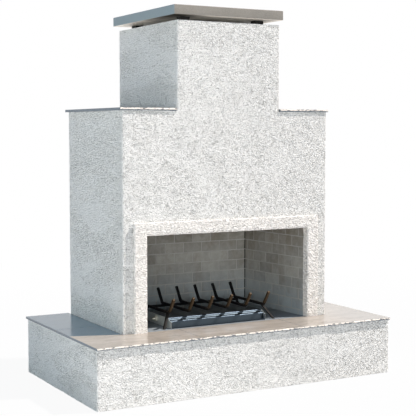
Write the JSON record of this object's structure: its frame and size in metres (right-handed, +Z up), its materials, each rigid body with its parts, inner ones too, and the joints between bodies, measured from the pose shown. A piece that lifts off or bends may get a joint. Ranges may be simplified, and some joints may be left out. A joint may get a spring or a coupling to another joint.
{
  "type": "outdoor fireplace",
  "caption": "Stuccoed outdoor gas fireplace on a tiled hearth plinth, with a brick-lined firebox, log grate, stainless burner pan and slab chimney cap on posts.",
  "frame": {"origin": "on the ground, under the middle of the whole", "axes": "+Z up, the fire opening faces -Y, +X on the right of someone who looks into the firebox"},
  "size_m": [1.731, 1.0104, 1.959],
  "materials": {
    "stucco": "off-white fine sand-finish stucco",
    "trim_stucco": "cream coarse stucco",
    "tile": "semi-gloss porcelain, beige with soft veins",
    "capstone": "honed grey cast slab",
    "brick": "grey-beige moulded firebrick",
    "refractory": "cast refractory",
    "cement_board": "bare cement board",
    "galvanised_steel": "galvanised",
    "black_steel": "heat-proof black paint, browned on the finger faces",
    "stainless": "polished stainless sheet",
    "brass": "machined brass"
  },
  "bodies": {
    "root": {"hearth_frame": "galvanised_steel", "hearth_board_front": "cement_board", "hearth_board_back": "cement_board", "hearth_board_left": "cement_board", "hearth_board_right": "cement_board", "hearth_deck": "cement_board", "hearth_stucco": "stucco", "hearth_tile_front_centre": "tile", "hearth_tile_front_left": "tile", "hearth_tile_front_right": "tile", "hearth_tile_rear_left": "tile", "hearth_tile_rear_right": "tile", "side_frame_left": "galvanised_steel", "side_frame_right": "galvanised_steel", "chimney_frame": "galvanised_steel", "lintel_angle": "galvanised_steel", "header_board": "cement_board", "back_board": "cement_board", "chimney_board_front": "cement_board", "chimney_board_back": "cement_board", "jamb_board_left": "cement_board", "jamb_board_right": "cement_board", "side_board_left": "cement_board", "side_board_right": "cement_board", "shoulder_board_left": "cement_board", "shoulder_board_right": "cement_board", "chimney_board_left": "cement_board", "chimney_board_right": "cement_board", "tower_stucco": "stucco", "firebox_surround": "trim_stucco", "shoulder_tile_left": "tile", "shoulder_tile_right": "tile", "chimney_cover": "galvanised_steel", "cap_post_front_left": "black_steel", "cap_post_front_right": "black_steel", "cap_post_back_left": "black_steel", "cap_post_back_right": "black_steel", "cap_slab": "capstone", "brick_panel_back": "brick", "brick_panel_left": "brick", "brick_panel_right": "brick", "firebox_floor": "refractory", "firebox_shell": "galvanised_steel", "smoke_dome": "refractory", "flue_pipe": "galvanised_steel", "grate_bar_1": "black_steel", "grate_bar_2": "black_steel", "grate_bar_3": "black_steel", "grate_bar_4": "black_steel", "grate_bar_5": "black_steel", "grate_bar_6": "black_steel", "grate_cross_bar": "black_steel", "grate_leg_front_left": "black_steel", "grate_leg_front_right": "black_steel", "grate_leg_back_left": "black_steel", "grate_leg_back_right": "black_steel", "burner_pan": "stainless", "burner_tube": "stainless", "gas_inlet": "brass"}
  },
  "joints": []
}
